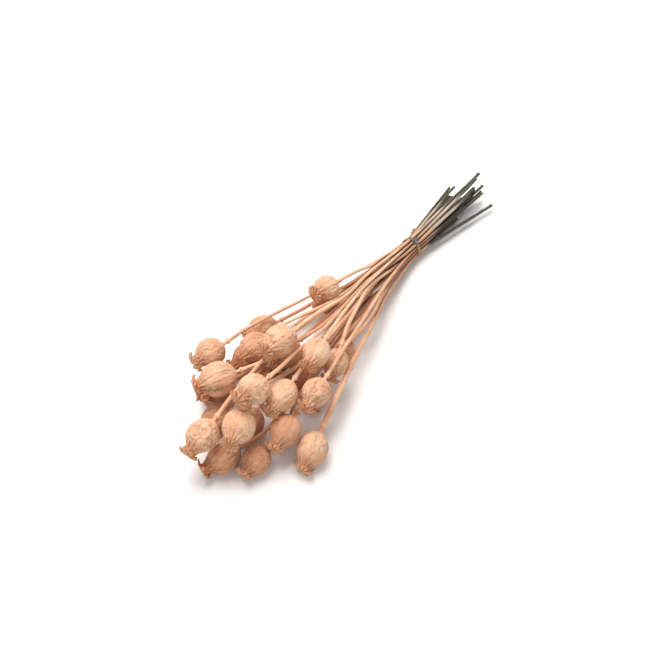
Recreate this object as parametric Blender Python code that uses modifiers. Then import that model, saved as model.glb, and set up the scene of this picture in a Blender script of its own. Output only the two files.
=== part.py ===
# A tied bunch of dried, dyed poppy seed heads, lying on a flat surface.
#
# Each poppy is one grown piece: a stem, the swollen ring at its top, the seed capsule and the rayed
# crown on the capsule. A rubber band wound three times holds the stems.
# Metres. +X runs along the stems from the heads to the cut ends, +Z is up, z = 0 is the surface.
# The last step slides the bunch so that the middle of its footprint is the origin.

import math

import bmesh
import bpy
import numpy as np
from mathutils import Matrix, Vector

MM = 0.001

# Where each capsule's middle lies, its size without the crown and which way its crown faces.
# Sizes in mm. Swing turns the crown from -X towards -Y and nod lifts it, in degrees.
# A capsule marked True lies on the surface, whatever its z.
POPPIES = [
    # x, y, z, width, length, swing, nod, lies on the surface
    (-26, 20, 61, 31, 31, -3, 12, False),
    (-21, 21, 29, 31, 32, -14, 2, False),
    (-102, 57, 18, 36, 39, -16, -3, True),
    (-178, 67, 38, 36, 36, -9, -5, False),
    (-205, 22, 58, 40, 43, -23, -2, False),
    (-196, 34, 18, 36, 38, -16, -6, True),
    (-133, -7, 85, 37, 43, 4, 13, False),
    (-144, 24, 54, 34, 39, -3, -4, False),
    (-144, 41, 17, 35, 40, -8, -5, True),
    (-120, -1, 41, 36, 38, 3, -1, False),
    (-112, -43, 74, 31, 36, 16, 3, False),
    (-95, -54, 44, 31, 34, 24, -16, False),
    (-200, -32, 82, 35, 35, 0, 4, False),
    (-172, -49, 58, 35, 41, 12, 1, False),
    (-144, -70, 55, 32, 36, 12, -6, False),
    (-121, -58, 14, 31, 34, 18, -20, True),
    (-230, -39, 62, 37, 43, 24, 9, False),
    (-264, -15, 50, 36, 40, 7, -14, False),
    (-230, 6, 16, 33, 36, -4, -14, True),
    (-256, -35, 17, 34, 42, -14, -6, True),
    (-207, -28, 17, 34, 37, 12, -12, True),
    (-194, -71, 37, 35, 39, 12, -6, False),
    (-234, -64, 16, 33, 36, 6, -2, True),
    (-183, -101, 18, 36, 41, 16, -18, True),
    (-148, 2, 15, 30, 33, -8, -10, True),
    (-57, -36, 14, 30, 33, 18, -18, True),
    (-125, -25, 15, 31, 34, 2, -14, True),
]

TIE_X = 0.131
TIE_MIDDLE = (0.008, 0.0185)

# Cut ends fan out past the band, and each stem is cut at its own length.
END_X_MIN = 0.222
END_X_MAX = 0.288
END_SPREAD = 2.6
END_MIDDLE = (0.014, 0.021)

# Stems with a marked kink: which poppy, then where the kink pushes the stem, in metres.
KINKS = [(16, -0.010, -0.016, 0.002), (12, 0.016, 0.004, 0.008), (8, -0.030, -0.004, 0.010)]
KINK_REACH = 0.075

STATION_STEP = 0.026
STATION_FIRST = -0.259
STEM_WANDER = 0.0026

STEM_RADIUS_MIN = 0.0018
STEM_RADIUS_MAX = 0.0022
STEM_SIDES_RESOLUTION = 1
TOP_SWELL = 1.18
RING_RADIUS = 0.0034
RING_DISTANCE = 0.0065
RING_HALF_LENGTH = 0.0012
NECK_RADIUS = 0.0019
ROOT_IN_CAPSULE = 0.25

# Capsule profile, in capsule radii, with the crown at the top.
BODY_ANGLES = (32, 64, 96, 128)
CROWN_NECK_RADIUS = 0.40
CROWN_NECK_HEIGHT = 1.12
CROWN_RISE = 0.10
CROWN_THICKNESS = 0.085
CROWN_DOME = 0.28
CROWN_RADIUS_MIN = 0.56
CROWN_RADIUS_MAX = 0.69
RAY_SPACING = 0.0016  # of the capsule's radius for each ray: wide capsules have more rays
RIB_HEIGHT = 0.022
RAY_REACH = 1.10
NOTCH_REACH = 0.88
RAY_DROOP = 0.07
FLAT_SPOT_DEPTH = 0.00035

BAND_TURNS = 3
BAND_WIRE_RADIUS = 0.00075
BAND_PITCH = 0.0030
BAND_PINCH = 0.9
BAND_CLEARANCE = 0.0006
BAND_POINTS = 26
BAND_KNOT_POINT = 7
BAND_KNOT_SIZE = (0.0042, 0.0026, 0.0019)

HEAD_GAP = 0.0007
HEAD_NEIGHBOUR = 0.090
STEM_GAP = 0.0006
HEAD_ROUNDS = 400
STEM_ROUNDS = 1200
SEED = 28


# Small helpers


def clear_scene():
    for thing in list(bpy.data.objects):
        bpy.data.objects.remove(thing)


def dried_material(name, colour, roughness):
    """A Principled material of one plain colour."""
    material = bpy.data.materials.new(name)
    material.use_nodes = True
    shader = material.node_tree.nodes["Principled BSDF"]
    shader.inputs["Base Color"].default_value = (*colour, 1)
    shader.inputs["Roughness"].default_value = roughness
    shader.inputs["Metallic"].default_value = 0
    return material


def mesh_from(thing):
    """The object's shape after its modifiers, as a new mesh with its doubles merged."""
    graph = bpy.context.evaluated_depsgraph_get()
    mesh = bpy.data.meshes.new_from_object(thing.evaluated_get(graph))
    work = bmesh.new()
    work.from_mesh(mesh)
    bmesh.ops.remove_doubles(work, verts=work.verts, dist=1e-6)
    bmesh.ops.recalc_face_normals(work, faces=work.faces)
    work.to_mesh(mesh)
    work.free()
    return mesh


def linked(name, data):
    thing = bpy.data.objects.new(name, data)
    bpy.context.scene.collection.objects.link(thing)
    return thing


def lerp(low, high, share):
    return low + (high - low) * share


# The poppies' own sizes


class Poppy:
    """One poppy: its capsule's place, facing and proportions, and its stem's thickness."""

    def __init__(self, row, chance):
        x, y, z, width, length, swing, nod, on_surface = row
        self.middle = np.array([x, y, z]) * MM
        self.radius = width * MM / 2
        self.half_length = length * MM / 2
        self.on_surface = on_surface
        swing, nod = math.radians(swing), math.radians(nod)
        self.facing = np.array(
            [-math.cos(nod) * math.cos(swing), -math.cos(nod) * math.sin(swing), math.sin(nod)]
        )
        self.crown_radius = self.radius * chance.uniform(CROWN_RADIUS_MIN, CROWN_RADIUS_MAX)
        self.rays = round(self.radius / RAY_SPACING) + int(chance.integers(0, 2))
        self.spin = chance.uniform(0, 2 * math.pi)
        self.stem_radius = chance.uniform(STEM_RADIUS_MIN, STEM_RADIUS_MAX)
        self.end_x = chance.uniform(END_X_MIN, END_X_MAX)

    def turned(self):
        """The rotation that takes the profile's +Z to the way the crown faces."""
        aim = Vector(self.facing).to_track_quat("Z", "Y").to_matrix().to_4x4()
        return aim @ Matrix.Rotation(self.spin, 4, "Z")

    def on_axis(self, height):
        """The point on the capsule's axis this far above its middle."""
        return self.middle + self.facing * height

    def base(self):
        return self.on_axis(-self.half_length)

    def feelers(self):
        """Spheres that fill the head and the straight top of the stem: offsets and radii."""
        r, h, crown = self.radius, self.half_length, self.crown_radius
        rows = [(-0.30 * h, 0.84 * r), (0.0, 1.03 * r), (0.34 * h, 0.84 * r)]
        rows.append((CROWN_NECK_HEIGHT * h, CROWN_NECK_RADIUS * r))
        offsets = [self.facing * height for height, _ in rows]
        radii = [radius for _, radius in rows]
        turn = np.array(self.turned().to_3x3())
        rim = CROWN_NECK_HEIGHT * h + (CROWN_RISE + CROWN_THICKNESS / 2) * r
        for step in range(8):
            angle = step * math.pi / 4
            spoke = np.array([math.cos(angle), math.sin(angle), 0]) * crown * 0.80
            offsets.append(self.facing * rim + turn @ spoke)
            radii.append(0.32 * crown)
        for step in range(7):
            distance = RING_DISTANCE + step * 0.0055
            offsets.append(-self.facing * (h + distance))
            radii.append(RING_RADIUS if step == 0 else self.stem_radius * TOP_SWELL)
        return np.array(offsets), np.array(radii)


# Settling: heads are pushed apart, then stems are bent clear of heads and of each other


def rest_height(poppy, head):
    """The height of the middle at which the head's lowest point is a flat spot on the surface."""
    corners = np.array([vertex.co[:] for vertex in head.vertices])
    turn = np.array(poppy.turned().to_3x3())
    return -(corners @ turn.T)[:, 2].min() - FLAT_SPOT_DEPTH


def gathered(owner, moves, count):
    """The moves added up for each owner."""
    sums = [np.bincount(owner, weights=moves[:, axis], minlength=count) for axis in range(3)]
    return np.stack(sums, axis=1)


def settle_heads(poppies, heads):
    """Moves the heads apart until none of their spheres overlap, near where they were placed."""
    count = len(poppies)
    placed = np.array([poppy.middle for poppy in poppies])
    lowest = np.array([rest_height(p, head) for p, head in zip(poppies, heads)])
    laid = np.array([poppy.on_surface for poppy in poppies])
    owner, offset, radius = all_feelers(poppies)
    first, second = np.triu_indices(len(owner), 1)
    close = np.linalg.norm(placed[owner[first]] - placed[owner[second]], axis=1) < HEAD_NEIGHBOUR
    close &= owner[first] != owner[second]
    first, second = first[close], second[close]
    reach = radius[first] + radius[second] + HEAD_GAP
    middles = placed.copy()
    for turn in range(HEAD_ROUNDS):
        centres = middles[owner] + offset
        between = centres[second] - centres[first]
        distance = np.maximum(np.linalg.norm(between, axis=1), 1e-6)
        short = np.maximum(reach - distance, 0)
        push = between * (short * 0.25 / distance)[:, None]
        middles += gathered(owner[second], push, count) - gathered(owner[first], push, count)
        if turn < HEAD_ROUNDS * 0.7:
            middles += (placed - middles) * 0.02
        middles[:, 2] = np.where(laid, lowest, np.maximum(middles[:, 2], lowest + 0.001))
    for poppy, middle in zip(poppies, middles):
        poppy.middle = middle


def all_feelers(poppies):
    """Every head's spheres in one list: whose they are, their offsets and their radii."""
    feelers = [poppy.feelers() for poppy in poppies]
    owner = np.concatenate([[i] * len(f[1]) for i, f in enumerate(feelers)])
    offset = np.concatenate([f[0] for f in feelers])
    radius = np.concatenate([f[1] for f in feelers])
    return owner, offset, radius


def stem_stations():
    count = int((END_X_MAX + STATION_STEP - STATION_FIRST) / STATION_STEP) + 1
    return STATION_FIRST + np.arange(count) * STATION_STEP


def first_route(poppy, stations, at_tie, chance):
    """A smooth stem from the head through the band to the cut end, with a slight wander."""
    base, facing = poppy.base(), poppy.facing
    span = TIE_X - base[0]
    share = np.clip((stations - base[0]) / span, 0, 1)[:, None]
    slope = facing[1:] / facing[0]
    tie_slope = (at_tie - base[1:]) / span * 0.5
    line = (
        (2 * share**3 - 3 * share**2 + 1) * base[1:]
        + (share**3 - 2 * share**2 + share) * span * slope
        + (3 * share**2 - 2 * share**3) * at_tie
        + (share**3 - share**2) * span * tie_slope
    )
    past = np.clip((stations - TIE_X) / (END_X_MAX - TIE_X), 0, 1.2)[:, None]
    at_end = (at_tie - TIE_MIDDLE) * END_SPREAD + END_MIDDLE
    line += past * (at_end - at_tie)
    for waves in (1.0, 2.3):
        size = chance.normal(0, STEM_WANDER / waves, 2)
        phase = chance.uniform(0, 2 * math.pi, 2)
        line += np.sin(math.pi * share) ** 2 * size * np.sin(2 * math.pi * waves * share + phase)
    return line


def add_kinks(routes, stations):
    for number, x, across, up in KINKS:
        share = np.clip(1 - abs(stations - x) / KINK_REACH, 0, 1)[:, None]
        routes[number - 1] += share**1.5 * (across, up)


def first_routes(poppies, stations, chance):
    bases = np.array([poppy.base() for poppy in poppies])
    spread = (bases[:, 1:] - bases[:, 1:].mean(0)) / bases[:, 1:].std(0)
    waist = spread * 0.0065 + chance.normal(0, 0.0022, spread.shape) + TIE_MIDDLE
    routes = [first_route(p, stations, at_tie, chance) for p, at_tie in zip(poppies, waist)]
    routes = np.array(routes)
    add_kinks(routes, stations)
    return routes


def off_stems(route, radius, live):
    """How far each stem moves at each station to clear the other stems, across the stems."""
    slope = np.linalg.norm(np.diff(route, axis=1), axis=2) / STATION_STEP
    width = radius[:, None] * np.sqrt(1 + slope**2)
    gap = route[None] - route[:, None]
    low, step = gap[:, :, :-1], np.diff(gap, axis=2)
    share = -(low * step).sum(3) / np.maximum((step**2).sum(3), 1e-12)
    share = np.clip(share, 0, 1)[..., None]
    near = low + step * share
    distance = np.maximum(np.linalg.norm(near, axis=3), 1e-6)
    busy = live[:, None] & live[None]
    busy = busy[:, :, :-1] & ~np.eye(len(route), dtype=bool)[..., None]
    short = np.maximum(width[:, None] + width[None] + STEM_GAP - distance, 0) * busy
    push = near * (short * 0.35 / distance)[..., None]
    moves = np.zeros_like(route)
    moves[:, :-1] -= (push * (1 - share)).sum(1)
    moves[:, 1:] -= (push * share).sum(1)
    return moves


class HeadSpheres:
    """The settled heads' spheres, each paired with the spans between stations that it can reach."""

    def __init__(self, poppies, stations, radius):
        owner, offset, ball_radius = all_feelers(poppies)
        middles = np.array([poppy.middle for poppy in poppies])
        ball = middles[owner] + offset
        margin = ball_radius + radius.max() + STEM_GAP
        from_x, to_x = ball[:, 0] - margin, ball[:, 0] + margin
        reached = (stations[None, :-1] < to_x[:, None]) & (stations[None, 1:] > from_x[:, None])
        which, self.span = np.nonzero(reached)
        self.ball = ball[which]
        self.reach = ball_radius[which][None] + radius[:, None] + STEM_GAP
        self.others = owner[which][None] != np.arange(len(poppies))[:, None]
        self.to_span = np.eye(len(stations))[self.span]

    def moves(self, stations, route, live):
        """How far each stem moves at each station to clear the heads, across the stems."""
        across = np.broadcast_to(stations[None, :, None], route.shape[:2] + (1,))
        points = np.concatenate([across, route], axis=2)
        low = points[:, self.span]
        along = points[:, self.span + 1] - low
        to_ball = self.ball - low
        share = np.clip((to_ball * along).sum(2) / (along**2).sum(2), 0, 1)[..., None]
        away = along * share - to_ball
        distance = np.maximum(np.linalg.norm(away, axis=2), 1e-6)
        short = np.maximum(self.reach - distance, 0) * (live[:, self.span] & self.others)
        sideways = np.maximum(np.linalg.norm(away[..., 1:], axis=2), 1e-5)
        push = away[..., 1:] * (short * 0.6 / sideways)[..., None]
        moves = np.einsum("ipa,pk->ika", push * (1 - share), self.to_span)
        moves[:, 1:] += np.einsum("ipa,pk->ika", push * share, self.to_span)[:, :-1]
        return moves


def settle_stems(poppies, stations, route):
    """Bends the stems until each is clear of the others and of the heads."""
    bases = np.array([poppy.base() for poppy in poppies])
    radius = np.array([poppy.stem_radius for poppy in poppies])
    start = np.searchsorted(stations, bases[:, 0] + RING_DISTANCE + 0.007)
    live = np.arange(len(stations))[None] >= start[:, None]
    # The first station past the ring lies on the head's own axis, so the stem enters straight.
    rows = np.arange(len(poppies))
    facing = np.array([poppy.facing for poppy in poppies])
    slope = facing[:, 1:] / facing[:, :1]
    on_axis = bases[:, 1:] + (stations[start] - bases[:, 0])[:, None] * slope
    route[rows, start] = on_axis
    bent = np.diff(route, 2, axis=1)
    tie = int(np.argmin(abs(stations - TIE_X)))
    spheres = HeadSpheres(poppies, stations, radius)
    inner = (live[:, :-2] & live[:, 1:-1])[..., None]
    for turn in range(STEM_ROUNDS):
        if turn < STEM_ROUNDS * 0.85:
            bend = (np.diff(route, 2, axis=1) - bent) * inner
            route[:, 1:-1] += bend * 0.24
            route[:, :-2] -= bend * 0.09
            route[:, 2:] -= bend * 0.09
            route[:, tie - 1 : tie + 2] += (TIE_MIDDLE - route[:, tie - 1 : tie + 2]) * 0.01
        route += off_stems(route, radius, live) + spheres.moves(stations, route, live)
        route[..., 1] = np.maximum(route[..., 1], radius[:, None] * 1.03 + 0.0003)
        route[rows, start] = on_axis
    return start


# Shapes


def head_mesh(poppy, name):
    """The capsule and its crown: a turned profile, then ribs, rays and notches by column."""
    r, h, crown = poppy.radius, poppy.half_length, poppy.crown_radius
    neck = CROWN_NECK_HEIGHT * h
    profile = [
        (0, neck + CROWN_DOME * r),
        (crown, neck + (CROWN_RISE + CROWN_THICKNESS) * r),
        (crown, neck + CROWN_RISE * r),
        (CROWN_NECK_RADIUS * r, neck),
    ]
    for angle in reversed(BODY_ANGLES):
        turn = math.radians(angle)
        profile.append((r * math.sin(turn), -h * math.cos(turn)))
    profile.append((0, -h))
    line = bpy.data.meshes.new(name)
    edges = [(i, i + 1) for i in range(len(profile) - 1)]
    line.from_pydata([(x, 0, z) for x, z in profile], edges, [])
    thing = linked(name, line)
    columns = 2 * poppy.rays
    screw = thing.modifiers.new("turned", "SCREW")
    screw.steps = columns
    screw.render_steps = columns
    screw.use_merge_vertices = True
    screw.merge_threshold = 0.00001
    mesh = mesh_from(thing)
    bpy.data.objects.remove(thing)
    for vertex in mesh.vertices:
        x, y, z = vertex.co
        column = round(math.atan2(y, x) / (2 * math.pi) * columns)
        on_ray = column % 2 == 0
        if z > neck + CROWN_RISE * r * 0.5 and math.hypot(x, y) > 0.1 * crown:
            reach = RAY_REACH if on_ray else NOTCH_REACH
            vertex.co = (x * reach, y * reach, z - (RAY_DROOP * r if on_ray else 0))
        elif z < neck - 0.05 * r:
            reach = 1 + (RIB_HEIGHT if on_ray else -RIB_HEIGHT)
            vertex.co = (x * reach, y * reach, z)
    return mesh


def stem_points(poppy, stations, route, start):
    """Centres and radii along the stem, from inside the capsule to the cut end."""
    root = poppy.on_axis(-poppy.half_length * (1 - ROOT_IN_CAPSULE))
    rows = [(root, NECK_RADIUS)]
    ring = poppy.half_length + RING_DISTANCE
    for shift, radius in (
        (-2.2 * RING_HALF_LENGTH, NECK_RADIUS),
        (-RING_HALF_LENGTH, RING_RADIUS),
        (RING_HALF_LENGTH, RING_RADIUS * 0.96),
        (3.4 * RING_HALF_LENGTH, poppy.stem_radius * TOP_SWELL),
    ):
        rows.append((poppy.on_axis(-ring - shift), radius))
    for k in range(start, len(stations)):
        if stations[k] >= poppy.end_x - 0.004:
            break
        swell = 1 + (TOP_SWELL - 1) * max(0, 1 - (k - start) / 4)
        rows.append((np.array([stations[k], *route[k]]), poppy.stem_radius * swell))
    share = (poppy.end_x - stations[k - 1]) / STATION_STEP
    end = lerp(route[k - 1], route[k], share)
    rows.append((np.array([poppy.end_x, *end]), poppy.stem_radius))
    return rows


def tube_mesh(name, rows, cyclic=False):
    """A round tube through the rows' points, each with its own radius."""
    curve = bpy.data.curves.new(name, "CURVE")
    curve.dimensions = "3D"
    curve.bevel_depth = 1
    curve.bevel_resolution = STEM_SIDES_RESOLUTION
    curve.use_fill_caps = True
    spline = curve.splines.new("POLY")
    spline.points.add(len(rows) - 1)
    for point, (place, radius) in zip(spline.points, rows):
        point.co = (*place, 1)
        point.radius = radius
    spline.use_cyclic_u = cyclic
    thing = linked(name, curve)
    mesh = mesh_from(thing)
    bpy.data.objects.remove(thing)
    return mesh


def press_flat(mesh):
    """Cuts off what lies below the surface, which leaves a small flat spot."""
    work = bmesh.new()
    work.from_mesh(mesh)
    everything = work.verts[:] + work.edges[:] + work.faces[:]
    bmesh.ops.bisect_plane(
        work, geom=everything, plane_co=(0, 0, 0), plane_no=(0, 0, 1), clear_inner=True
    )
    rim = [edge for edge in work.edges if edge.is_boundary]
    bmesh.ops.holes_fill(work, edges=rim, sides=0)
    bmesh.ops.recalc_face_normals(work, faces=work.faces)
    work.to_mesh(mesh)
    work.free()


def joined(name, meshes, material):
    """One object: the first mesh with the others united to it."""
    body = linked(name, meshes[0])
    others = bpy.data.collections.new(name + "_joins")
    for number, mesh in enumerate(meshes[1:]):
        others.objects.link(bpy.data.objects.new(f"{name}_join_{number}", mesh))
    bpy.context.scene.collection.children.link(others)
    union = body.modifiers.new("union", "BOOLEAN")
    union.operation = "UNION"
    union.operand_type = "COLLECTION"
    union.collection = others
    union.solver = "EXACT"
    mesh = mesh_from(body)
    body.modifiers.clear()
    body.data = mesh
    for other in list(others.objects):
        bpy.data.objects.remove(other)
    bpy.data.collections.remove(others)
    mesh.materials.clear()
    mesh.materials.append(material)
    mesh.shade_smooth()
    mesh.set_sharp_from_angle(angle=math.radians(50))
    return body


def make_poppy(number, poppy, head, rows, material):
    stem = tube_mesh("stem", rows)
    head.transform(Matrix.Translation(Vector(poppy.middle)) @ poppy.turned())
    body = joined(f"poppy_{number:02d}", [head, stem], material)
    if min(vertex.co.z for vertex in body.data.vertices) < 0:
        press_flat(body.data)
    return body


def band_outline(poppies, stations, route, clearance):
    """The tight loop round all stems where the band sits, as points of (y, z)."""
    radii = np.array([poppy.stem_radius for poppy in poppies]) + clearance
    angles = np.arange(BAND_POINTS) * 2 * math.pi / BAND_POINTS
    ways = np.stack([np.cos(angles), np.sin(angles)], axis=1)
    reach = np.zeros(BAND_POINTS)
    for x in (TIE_X - BAND_PITCH, TIE_X, TIE_X + BAND_PITCH):
        places = np.array([[np.interp(x, stations, line[:, a]) for a in (0, 1)] for line in route])
        reach = np.maximum(reach, ((places - TIE_MIDDLE) @ ways.T + radii[:, None]).max(0))
    # Each point is where the tangent lines of two neighbouring directions meet.
    after = np.roll(reach, -1)
    turn = 2 * math.pi / BAND_POINTS
    slide = (after - reach * math.cos(turn)) / math.sin(turn)
    normal = np.stack([-ways[:, 1], ways[:, 0]], axis=1)
    return TIE_MIDDLE + ways * reach[:, None] + normal * slide[:, None]


def make_band(poppies, stations, route, material):
    """Turns of a rubber band that spread out round the stems and meet at a knot."""
    clearance = BAND_CLEARANCE + BAND_WIRE_RADIUS
    outline = band_outline(poppies, stations, route, clearance)
    step = 2 * math.pi / BAND_POINTS
    turns = []
    for turn in range(BAND_TURNS):
        aside = (turn - (BAND_TURNS - 1) / 2) * BAND_PITCH
        rows = []
        for number, (y, z) in enumerate(outline):
            pinch = 1 - BAND_PINCH * (0.5 + 0.5 * math.cos((number - BAND_KNOT_POINT) * step))
            rows.append(((TIE_X + aside * pinch, y, z), BAND_WIRE_RADIUS))
        turns.append(tube_mesh("turn", rows, cyclic=True))
    work = bmesh.new()
    bmesh.ops.create_uvsphere(work, u_segments=10, v_segments=6, radius=1)
    bmesh.ops.scale(work, vec=BAND_KNOT_SIZE, verts=work.verts)
    knot = bpy.data.meshes.new("knot")
    work.to_mesh(knot)
    work.free()
    lie = Matrix.Rotation((BAND_KNOT_POINT + 0.5) * step - math.pi / 2, 4, "X")
    y, z = band_outline(poppies, stations, route, clearance + 0.0008)[BAND_KNOT_POINT]
    knot.transform(Matrix.Translation((TIE_X, y, z)) @ lie)
    return joined("tie_band", [knot, *turns], material)


def centre_footprint(pieces):
    """Slides the whole bunch so that the middle of its footprint is at x = y = 0."""
    corners = np.array([vertex.co[:] for piece in pieces for vertex in piece.data.vertices])
    middle = (corners.min(0) + corners.max(0)) / 2
    for piece in pieces:
        piece.data.transform(Matrix.Translation((-middle[0], -middle[1], 0)))


def main():
    clear_scene()
    chance = np.random.default_rng(SEED)
    poppies = [Poppy(row, chance) for row in POPPIES]
    heads = [head_mesh(poppy, "head") for poppy in poppies]
    settle_heads(poppies, heads)
    stations = stem_stations()
    route = first_routes(poppies, stations, chance)
    start = settle_stems(poppies, stations, route)
    dyed = dried_material("dyed_poppy", (0.83, 0.50, 0.29), 0.85)
    rubber = dried_material("band_rubber", (0.19, 0.15, 0.13), 0.7)
    pieces = []
    for i, poppy in enumerate(poppies):
        rows = stem_points(poppy, stations, route[i], start[i])
        pieces.append(make_poppy(i + 1, poppy, heads[i], rows, dyed))
    pieces.append(make_band(poppies, stations, route, rubber))
    centre_footprint(pieces)
    bunch = bpy.data.collections.new("poppy_bunch")
    bpy.context.scene.collection.children.link(bunch)
    for piece in pieces:
        bpy.context.scene.collection.objects.unlink(piece)
        bunch.objects.link(piece)


main()
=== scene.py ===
# Looks of a tied bunch of dried, dyed poppy seed heads.
# Metres, +Z up. Each poppy is one closed surface laid over its own CAD solid: stem, swollen ring,
# capsule and rayed crown. The rubber band is a set of flat strands with a knot.
import math

import bpy
import numpy as np
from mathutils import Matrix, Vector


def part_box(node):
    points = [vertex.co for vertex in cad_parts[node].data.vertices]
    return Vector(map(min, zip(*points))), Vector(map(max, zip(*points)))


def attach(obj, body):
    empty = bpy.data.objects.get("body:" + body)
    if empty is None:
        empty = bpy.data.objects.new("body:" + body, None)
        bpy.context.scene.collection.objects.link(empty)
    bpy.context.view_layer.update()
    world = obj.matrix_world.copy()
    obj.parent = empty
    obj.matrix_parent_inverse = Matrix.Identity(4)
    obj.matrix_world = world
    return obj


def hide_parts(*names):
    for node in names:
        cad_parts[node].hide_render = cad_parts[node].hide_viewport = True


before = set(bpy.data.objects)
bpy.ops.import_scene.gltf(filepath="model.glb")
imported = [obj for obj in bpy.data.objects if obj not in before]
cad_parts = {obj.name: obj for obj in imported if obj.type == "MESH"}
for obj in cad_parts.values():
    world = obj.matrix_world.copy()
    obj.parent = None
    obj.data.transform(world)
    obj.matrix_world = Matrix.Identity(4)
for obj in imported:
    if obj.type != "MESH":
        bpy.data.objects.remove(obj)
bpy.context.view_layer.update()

mm = 0.001
fullTurn = 2 * math.pi


# Colours and nodes

def hexColour(code):
    # sRGB hex to linear: each channel c becomes c / 12.92 up to 0.04045,
    # else ((c + 0.055) / 1.055) ^ 2.4
    channels = [int(code[i:i + 2], 16) / 255 for i in (1, 3, 5)]
    return [c / 12.92 if c <= 0.04045 else ((c + 0.055) / 1.055) ** 2.4 for c in channels] + [1]


def setNode(node, settings, links):
    # A settings key is a property of the node, or else the name or number of an input
    for key, value in settings.items():
        if isinstance(key, str) and hasattr(node, key):
            setattr(node, key, value)
        else:
            node.inputs[key].default_value = value
    for key, socket in links.items():
        node.id_data.links.new(socket, node.inputs[key])


def addNode(tree, kind, settings={}, links={}, out=0):
    # One node with its settings and links, and the output of it that is used
    node = tree.nodes.new("ShaderNode" + kind)
    setNode(node, settings, links)
    return node.outputs[out]


def newMaterial(name):
    # A node material, its tree and its shader
    material = bpy.data.materials.new(name)
    material.use_nodes = True
    tree = material.node_tree
    return material, tree, tree.nodes["Principled BSDF"]


def addObject(name, data):
    # A new object in the scene
    thing = bpy.data.objects.new(name, data)
    bpy.context.scene.collection.objects.link(thing)
    return thing


# Numpy helpers

noiseHash = {"steps": (374761393, 668265263, 1274126177), "seedStep": 144665,
             "word": 0xFFFFFFFF, "half": 0xFFFF}
curveSteps = 12  # points worked out in each span of a curve


def latticeNoise(points, seed):
    # Value noise from 0 to 1: a random number at each whole-number corner, blended by 3t^2 - 2t^3
    h = noiseHash
    cell = np.floor(points).astype(np.int64)
    part = points - cell
    part = part * part * (3 - 2 * part)
    total = np.zeros(points.shape[:-1])
    for corner in range(8):
        step = np.array([corner & 1, corner >> 1 & 1, corner >> 2 & 1])
        mixed = ((cell + step) * h["steps"]).sum(-1)
        mixed = (mixed + seed * h["seedStep"]) & h["word"]
        mixed = ((mixed ^ (mixed >> 13)) * h["steps"][2]) & h["word"]
        value = ((mixed ^ (mixed >> 16)) & h["half"]) / h["half"]
        total += value * np.where(step, part, 1 - part).prod(-1)
    return total


def smoothStep(low, high, value):
    # 0 below low, 1 above high, 3t^2 - 2t^3 between
    share = np.clip((value - low) / (high - low), 0, 1)
    return share * share * (3 - 2 * share)


def between(ends, share):
    # The first end at share 0, the second at share 1, and straight between
    return ends[0] + (ends[1] - ends[0]) * share


def unit(vectors):
    # Each vector divided by its length
    return vectors / np.linalg.norm(vectors, axis=-1, keepdims=True)


def curveThrough(points, count=None, spacing=None, tension=0.5):
    # Catmull-Rom: cubic spans through the points, tangent = tension * (next - previous),
    # then resampled at even distances. Extra columns of the points are carried along.
    points = np.asarray(points, float)
    before = np.vstack([2 * points[0] - points[1], points[:-1]])
    after = np.vstack([points[1:], 2 * points[-1] - points[-2]])
    tangent = (after - before) * tension
    t = np.linspace(0, 1, curveSteps + 1)[None, :-1, None]
    p, q = points[:-1, None], points[1:, None]
    m, n = tangent[:-1, None], tangent[1:, None]
    fine = ((2 * t**3 - 3 * t**2 + 1) * p + (t**3 - 2 * t**2 + t) * m
            + (3 * t**2 - 2 * t**3) * q + (t**3 - t**2) * n)
    fine = np.vstack([fine.reshape(-1, points.shape[1]), points[-1:]])
    walked = walkedAlong(fine[:, :3])
    count = count or max(4, int(round(walked[-1] / spacing)) + 1)
    even = np.linspace(0, walked[-1], count)
    return np.stack([np.interp(even, walked, column) for column in fine.T], axis=1)


def walkedAlong(line):
    # Distance along the line to each of its points, summed from point to point
    return np.concatenate([[0], np.cumsum(np.linalg.norm(np.diff(line, axis=0), axis=1))])


def wayAlong(line, closed=False):
    # Unit tangents, from each point's two neighbours
    return unit(np.roll(line, -1, 0) - np.roll(line, 1, 0) if closed else np.gradient(line, axis=0))


# Closed surfaces as arrays

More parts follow.
